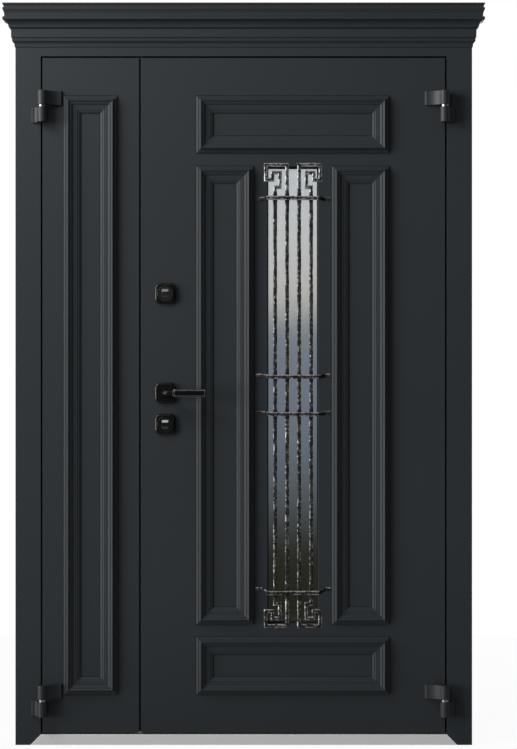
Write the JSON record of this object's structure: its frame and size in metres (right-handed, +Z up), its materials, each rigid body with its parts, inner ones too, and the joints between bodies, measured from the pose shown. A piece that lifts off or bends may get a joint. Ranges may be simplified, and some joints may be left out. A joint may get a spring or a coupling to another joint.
{
  "type": "front door with side leaf and frame",
  "caption": "Dark steel entrance door in a corniced frame: a wide leaf with panel mouldings, tall glass and a forged key-pattern grille, beside a narrow side leaf.",
  "frame": {"origin": "middle of the sill's flat underside, at floor level, on the plane of the outer wall face", "axes": "+X to the right seen from outside, +Y into the house, +Z up"},
  "size_m": [1.366, 0.209, 2.107],
  "materials": {
    "door_paint": "satin anthracite paint with a fine texture",
    "black_hardware": "smooth black, half gloss",
    "hinge_grey": "satin dark grey",
    "forged_iron": "hammered black iron with silver rubbed on its raised marks",
    "stainless": "brushed along the tread",
    "bright_steel": "bright turned steel",
    "spacer_metal": "dark anodised",
    "seal_rubber": "matt black",
    "window_glass": "mirror-tinted, strongly reflecting"
  },
  "bodies": {
    "frame": {"frame_jamb_left": "door_paint", "frame_jamb_right": "door_paint", "frame_head": "door_paint", "sill_bar": "door_paint", "threshold_plate": "stainless", "cornice": "door_paint", "frame_seal": "seal_rubber", "hinge_washers": "bright_steel", "hinge_post_top_left": "hinge_grey", "hinge_post_bottom_left": "hinge_grey", "hinge_post_top_right": "hinge_grey", "hinge_post_bottom_right": "hinge_grey"},
    "side_leaf": {"side_leaf_front_panel": "door_paint", "side_leaf_core": "door_paint", "side_leaf_back_panel": "door_paint", "side_leaf_moulding": "door_paint", "meeting_seal": "seal_rubber", "strike_plates": "bright_steel", "hinge_wing_top_left": "hinge_grey", "hinge_wing_bottom_left": "hinge_grey"},
    "main_leaf": {"main_leaf_front_panel": "door_paint", "main_leaf_core": "door_paint", "main_leaf_back_panel": "door_paint", "top_panel_moulding": "door_paint", "left_panel_moulding": "door_paint", "right_panel_moulding": "door_paint", "bottom_panel_moulding": "door_paint", "outer_glass_pane": "window_glass", "inner_glass_pane": "window_glass", "glazing_spacer": "spacer_metal", "inner_glazing_bead": "door_paint", "window_grille": "forged_iron", "handle_rosette": "black_hardware", "upper_lock_rosette": "black_hardware", "lower_lock_rosette": "black_hardware", "upper_lock_shutter": "black_hardware", "lower_lock_shutter": "black_hardware", "inner_handle_rosette": "black_hardware", "inner_lock_rosettes": "black_hardware", "inner_lock_shutters": "black_hardware", "lock_faceplates": "bright_steel", "hinge_wing_top_right": "hinge_grey", "hinge_wing_bottom_right": "hinge_grey"},
    "handle": {"outer_lever": "black_hardware", "inner_lever": "black_hardware", "spindle": "bright_steel"}
  },
  "joints": [
    {"name": "main_leaf_hinge", "type": "hinge", "parent": "frame", "child": "main_leaf", "pos_m": [0.571, -0.043, 1], "axis": [0, 0, 1], "range_deg": [0, 170]},
    {"name": "side_leaf_hinge", "type": "hinge", "parent": "frame", "child": "side_leaf", "pos_m": [-0.571, -0.043, 1], "axis": [0, 0, -1], "range_deg": [0, 170], "deforming": ["meeting_seal"]},
    {"name": "lever_turn", "type": "hinge", "parent": "main_leaf", "child": "handle", "pos_m": [-0.223, 0.016, 1.002], "axis": [0, 1, 0], "range_deg": [0, 40], "stiffness_Nm_per_rad": 1.5}
  ]
}
